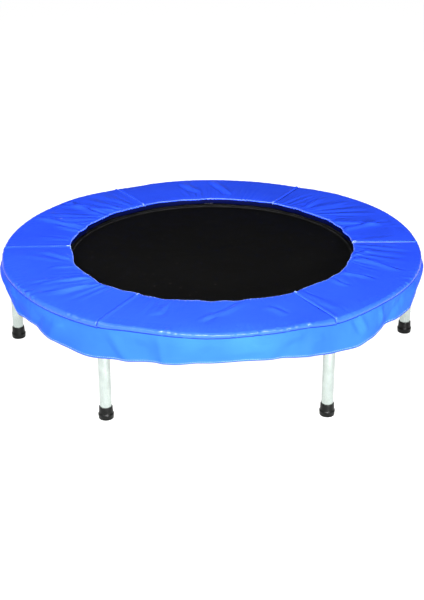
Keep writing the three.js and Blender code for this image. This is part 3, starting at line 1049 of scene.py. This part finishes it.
def make_mat():
    theta = full_turn(720)
    rings = np.concatenate([[4 * MM], np.linspace(20 * MM, MAT_EDGE_R - 1 * MM, 60)])
    share = rings / MAT_EDGE_R
    r = rings[None, :] + scallop(theta)[:, None] * share**8
    ripple = 0.35 * MM * drawn(theta)[:, None] * smoothstep(share, 0.75, 0.95)
    uneven = 0.25 * MM * waves(theta, 3, 14, 81)[:, None] * np.sin(math.pi * share)
    z = MAT_Z + 0.55 * MM + ripple + uneven
    points = polar(r, theta[:, None], z)
    faces = grid_faces(*points.shape[:2], flip=True)
    faces.append([i * len(rings) for i in range(len(theta))])
    sheet = add_mesh("mat_fabric", points, faces, MAT_WEAVE)
    thicken(sheet, 1.1 * MM)
    placed(sheet, "mat", "mat_weave", "mat")


def make_mat_band():
    """Webbing folded over the edge of the mat, with three rows of stitches above and below."""
    theta = full_turn(1440)
    middle = np.linspace(BAND_INNER_R, BAND_OUTER_R - BAND_HALF, 12)
    bend = np.radians(np.arange(75, -76, -25))
    profile = [(r, BAND_HALF) for r in middle]
    nose = BAND_OUTER_R - BAND_HALF
    profile += [(nose + BAND_HALF * math.cos(b), BAND_HALF * math.sin(b)) for b in bend]
    profile += [(r, -BAND_HALF) for r in middle[::-1]]
    profile += [(BAND_INNER_R + 0.2 * MM, -0.8 * MM), (BAND_INNER_R + 0.2 * MM, 0.8 * MM)]
    profile = np.array(profile)
    share = smoothstep(profile[:, 0], BAND_INNER_R, BAND_OUTER_R)
    r = profile[None, :, 0] + scallop(theta)[:, None] * share
    dents = sum(bell(profile[:, 0], row, 1.2 * MM) for row in STITCH_ROWS)
    lift = 0.35 * MM * drawn(theta)[:, None] * (1 - share)
    z = profile[None, :, 1] * (1 - 0.12 * dents) + MAT_Z + lift
    z = z + 0.12 * MM * waves(theta, 120, 260, 83)[:, None]
    points = polar(r, theta[:, None], z)
    faces = grid_faces(*points.shape[:2], closed_rows=True, flip=True)
    band = add_mesh("mat_band", points, faces, WEBBING)
    placed(band, "mat", "edge_webbing", "mat_edge_band")
    columns = np.arange(0, 1440, 2)
    for side in (1, -1):
        rows = Parts()
        for stitch_r in STITCH_ROWS:
            pull = float(smoothstep(stitch_r, BAND_INNER_R, BAND_OUTER_R))
            height = MAT_Z + side * (BAND_HALF - 0.1 * MM)
            path = polar(stitch_r + scallop(theta[columns]) * pull, theta[columns], height)
            ups = np.broadcast_to(np.array([0.0, 0.0, side]), path.shape)
            row = stitches(path, ups, 3.0 * MM, 4.2 * MM, 0.45 * MM)
            rows.add(row.vertices[0], row.faces)
        where = "top" if side > 0 else "underside"
        placed(rows.make(f"mat_stitches_{where}", GREY_THREAD), "mat", "edge_webbing")


def make_v_rings():
    """A triangle of wire for each spring, with its base inside the webbing."""
    base, half_base, half_tip = 347.5 * MM, 12 * MM, 1.6 * MM
    corners = [(base, -half_base, 0), (VRING_TIP_R, -half_tip, 0)]
    corners += [(VRING_TIP_R, half_tip, 0), (base, half_base, 0)]
    path = rounded(corners, 1.5 * MM, steps=5, closed=True, most=0.5)
    path = path + np.array([0.0, 0.0, MAT_Z])
    vertices, faces = tube(path, VRING_WIRE_R, 10, closed=True)
    rings = Parts()
    for k in range(SPRINGS):
        rings.add(spin_z(vertices, spring_angle(k)), faces)
    placed(rings.make("v_rings", SPRING_PLATE), "mat", "spring_steel")


# ---- springs ----
COIL_INNER_R, COIL_OUTER_R = 379 * MM, 437 * MM
WIRE_R = 1.25 * MM
COIL_MEAN_R = 5.7 * MM
COIL_TURNS = 22
HOOK_R = 3.0 * MM
RING_WALL_R = LEG_CIRCLE_R - TUBE_R


def spring_path():
    """One spring's wire along +X, from the V-ring's eye to the inside of the ring's tube."""
    a = np.radians(np.arange(300, 89, -15))
    hook = [(VRING_TIP_R + HOOK_R * math.cos(b), 0, HOOK_R * math.sin(b)) for b in a]
    hook[0] = (VRING_TIP_R + 4 * MM, 0, -HOOK_R * 0.8)
    lead = [(370 * MM, 0, 3.3 * MM), (373.5 * MM, 0, 4.3 * MM), (376.5 * MM, 0, 5.3 * MM)]
    turn = np.linspace(0, COIL_TURNS * TAU, COIL_TURNS * 14 + 1)
    along = COIL_INNER_R + (COIL_OUTER_R - COIL_INNER_R) * turn / turn[-1]
    coil = np.stack([along, COIL_MEAN_R * np.sin(turn), COIL_MEAN_R * np.cos(turn)], -1)
    tail = [(440, 5.0), (443, 3.2), (446, 1.2), (449, 0.2), (452, 0), (455, -0.6), (457, -2.4)]
    tail = [(r * MM, 0, z * MM) for r, z in [*tail, (457.6, -5.5)]]
    return np.concatenate([hook, lead, coil, tail]) + np.array([0.0, 0.0, MAT_Z])


def make_springs():
    vertices, faces = tube(spring_path(), WIRE_R, 7)
    for k in range(SPRINGS):
        angle = spring_angle(k)
        name = f"spring_{k + 1:02d}"
        spring = add_mesh(f"coil_{name}", spin_z(vertices, angle), faces, SPRING_PLATE)
        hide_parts(name)
        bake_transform(spring)


# ---- ring, sockets, washers, legs and feet ----
def make_ring():
    """The bent tube, with a punched hole for each spring's hook, and its butt weld."""
    near = np.array([0.12, 0.24, 0.36, 0.45, 0.55, 0.75])
    plain = np.arange(1.0, 5.01)
    local = np.radians([*-plain[::-1], *-near[::-1], 0, *near, *plain])
    theta = np.concatenate([spring_angle(k) + local for k in range(SPRINGS)])
    sides = 60
    a = full_turn(sides)
    hook_height = MAT_Z - RING_Z
    hole_turn = math.pi - math.asin(hook_height / TUBE_R)
    from_hole = (theta - spring_angle(0) + math.pi / SPRINGS) % (TAU / SPRINGS) - math.pi / SPRINGS
    across = (RING_WALL_R * from_hole)[:, None]
    up = TUBE_R * (a - hole_turn)[None, :]
    away = np.hypot(across, up)
    depth = 7 * MM * (1 - smoothstep(away, 2.3 * MM, 3.4 * MM))
    weld_turn = math.radians(15)
    weld = 0.7 * MM * bell((theta - weld_turn) * LEG_CIRCLE_R, 0, 1.8 * MM)[:, None]
    radius = TUBE_R - depth + weld
    r = LEG_CIRCLE_R + radius * np.cos(a)[None, :]
    z = RING_Z + radius * np.sin(a)[None, :]
    points = polar(r, theta[:, None], z)
    faces = grid_faces(*points.shape[:2], closed_rows=True)
    ring = add_mesh("frame_tube", points, faces, LEG_PLATE)
    placed(ring, "frame", "plated_steel", "frame_ring")


def make_socket(k):
    """A boss with a plain bore, and a bead of weld where it meets the ring."""
    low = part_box(f"leg_socket_{k + 1}")[0].z
    boss_r, bore_r, bore_top = 11 * MM, 5 * MM, low + 17 * MM
    top = RING_Z - 3 * MM
    profile = [(0.1 * MM, bore_top), (bore_r, bore_top), (bore_r, low), (boss_r, low)]
    profile += [(boss_r, top), (0.1 * MM, top)]
    socket = Parts()
    vertices, faces = turned(rounded(profile, 0.7 * MM), 48)
    socket.add(vertices, faces)
    a = full_turn(72)
    x, y = boss_r * np.cos(a), boss_r * np.sin(a)
    off_line = np.hypot(LEG_CIRCLE_R + x, y) - LEG_CIRCLE_R
    z = RING_Z - np.sqrt(TUBE_R**2 - off_line**2)
    bead = (1.7 + 0.3 * np.abs(np.sin(9 * a)) + 0.15 * np.sin(4 * a + k)) * MM
    socket.add(*tube(np.stack([x, y, z], -1), bead, 8, closed=True))
    piece = socket.make(f"socket_{k + 1}", LEG_PLATE)
    placed_at_leg(piece, k, "frame", "plated_steel", f"leg_socket_{k + 1}")


def placed_at_leg(piece, k, body, slot, node):
    """Moves a piece made on the Z axis to leg k, turned to face outwards, in its own mesh."""
    angle = k / LEGS * TAU
    centre = (LEG_CIRCLE_R * math.cos(angle), LEG_CIRCLE_R * math.sin(angle), 0)
    piece.data.transform(Matrix.Translation(centre) @ Matrix.Rotation(angle, 4, "Z"))
    piece.data.set_sharp_from_angle(angle=math.radians(40))
    placed(piece, body, slot, node)


def make_washer(k):
    node = f"leg_washer_{k + 1}"
    low, high = (corner.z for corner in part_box(node))
    profile = [(5.25 * MM, low), (10.5 * MM, low), (10.5 * MM, high), (5.25 * MM, high)]
    closed = rounded(profile + profile[:2], 0.45 * MM)[1:-1]
    piece = add_mesh(f"washer_{k + 1}", *turned(closed, 48, closed=True), SPRING_PLATE)
    placed_at_leg(piece, k, node, "spring_steel", node)


def screw_thread(root_r, crest_r, low, high, pitch):
    """A screw thread as a grid round the Z axis, faded out at both ends, with its end caps."""
    facets, step = 36, 0.25 * MM
    z = np.arange(low, high + step / 2, step)
    theta = full_turn(facets)
    phase = (z[None, :] / pitch - theta[:, None] / TAU) % 1
    ridge = 1 - abs(2 * phase - 1)
    fade = smoothstep(z, low, low + 1 * MM) * (1 - smoothstep(z, high - 1.5 * MM, high))
    r = root_r + (crest_r - root_r) * ridge * fade
    return polar(r, theta[:, None], z[None, :]).reshape(-1, 3), lathe_faces(facets, len(z))


def make_leg(k):
    """A tube with a pressed-in end plate and a threaded stud."""
    node = f"leg_{k + 1}"
    low, high = (corner.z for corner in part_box(node))
    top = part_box(f"leg_washer_{k + 1}")[0].z - 0.3 * MM
    inner = TUBE_R - 1.5 * MM
    profile = [(0.1 * MM, top - 8 * MM), (inner, top - 8 * MM), (inner, low), (TUBE_R, low)]
    profile += [(TUBE_R, top), (inner + 0.3 * MM, top), (inner, top - 0.6 * MM)]
    profile += [(inner - 0.4 * MM, top), (0.1 * MM, top)]
    leg = Parts()
    leg.add(*turned(rounded(profile, 0.8 * MM), 64))
    leg.add(*screw_thread(4.1 * MM, 4.7 * MM, top - 0.5 * MM, high, 1.5 * MM))
    piece = leg.make(f"leg_tube_{k + 1}", LEG_PLATE)
    placed_at_leg(piece, k, node, "plated_steel", node)


def make_foot(k):
    """A moulded rubber tip: a tapered collar over a wider base with a lip."""
    node = f"foot_{k + 1}"
    bore = TUBE_R + 0.1 * MM
    outline = [(0.1, 0), (15.0, 0), (15.8, 0.9), (16.1, 6.5), (16.6, 9.5), (16.6, 11.2)]
    outline += [(16.0, 12.4), (15.2, 13.2), (14.9, 16.0), (14.5, 22.0), (14.3, 27.0), (13.9, 28.0)]
    outer = rounded([(r * MM, z * MM) for r, z in outline], 0.5 * MM)
    inner = [(bore, FOOT_TOP_Z), (bore, 6 * MM), (0.1 * MM, 6 * MM)]
    profile = np.concatenate([outer, rounded(inner, 0.4 * MM)])
    piece = add_mesh(f"rubber_foot_{k + 1}", *turned(profile, 72), FOOT_RUBBER)
    placed_at_leg(piece, k, f"leg_{k + 1}", "foot_rubber", node)


top_points = make_pad_top()
make_hem_binding(top_points)
make_pad_underside()
make_foam()
make_skirt()
make_mat()
make_mat_band()
make_v_rings()
make_springs()
make_ring()
for leg in range(LEGS):
    make_socket(leg)
    make_washer(leg)
    make_leg(leg)
    make_foot(leg)


# ---- surroundings ----
FLOOR_GLOW = 0.97
SKY = 0.04

# Name, azimuth, elevation, distance, width, height and power of each light, and what it lights.
# Azimuth 0 is in front of the trampoline, and 90 to its right.
LIGHTS = (
    ("key", 10, 9, 2.9, 0.5, 0.3, 186, "diffuse"),
    ("glint", 4, 40, 2.4, 0.7, 0.5, 150, "glossy"),
    ("low glint", 16, -2, 2.6, 0.12, 0.2, 60, "glossy"),
    ("left", -60, 38, 1.7, 0.7, 0.7, 13, "both"),
    ("front", -5, 42, 1.8, 0.8, 0.8, 36, "both"),
    ("rear", 190, 4, 2.9, 1.4, 0.3, 110, "diffuse"),
)


def area_light(name, azimuth, elevation, distance, width, height, power, reach):
    a, e = math.radians(azimuth), math.radians(elevation)
    data = bpy.data.lights.new(name, "AREA")
    data.shape = "RECTANGLE"
    data.size, data.size_y, data.energy = width, height, power
    lamp = bpy.data.objects.new(name, data)
    bpy.context.scene.collection.objects.link(lamp)
    away = Vector((math.sin(a) * math.cos(e), -math.cos(a) * math.cos(e), math.sin(e)))
    lamp.location = Vector((0, 0, PAD_LOW)) + distance * away
    lamp.rotation_euler = away.to_track_quat("Z", "Y").to_euler()
    lamp.visible_diffuse = reach != "glossy"
    lamp.visible_glossy = reach != "diffuse"


def glowing(name, base, glow):
    """A pale surface that gives off a little light of its own."""
    shader = Shader(name, 0.9, 0.0)
    shader.set("Base Color", rgb(base, base, base))
    shader.set("Emission Color", rgb(1, 1, 1))
    shader.set("Emission Strength", glow)
    return shader.material


def make_stage():
    """A pale floor, with a pale wall all round far behind it that lights nothing."""
    half = 15.0
    corners = [(-half, -half, 0), (half, -half, 0), (half, half, 0), (-half, half, 0)]
    pale_floor = glowing("pale floor", 0.3, FLOOR_GLOW)
    floor = add_mesh("floor", corners, [[0, 1, 2, 3]], pale_floor, smooth=False)
    theta = full_turn(64)
    points = polar(half * 0.9, theta[:, None], np.array([[-0.01, half]]))
    backdrop = add_mesh("backdrop", points, grid_faces(64, 2), glowing("pale wall", 0.0, 1.0))
    backdrop.visible_diffuse = False
    backdrop.visible_glossy = False
    backdrop.visible_shadow = False
    world = bpy.data.worlds.new("studio")
    bpy.context.scene.world = world
    world.use_nodes = True
    world.node_tree.nodes["Background"].inputs["Color"].default_value = rgb(1, 1, 1)
    world.node_tree.nodes["Background"].inputs["Strength"].default_value = SKY
    for light in LIGHTS:
        area_light(*light)
    bpy.context.scene.view_settings.view_transform = "Standard"


make_stage()
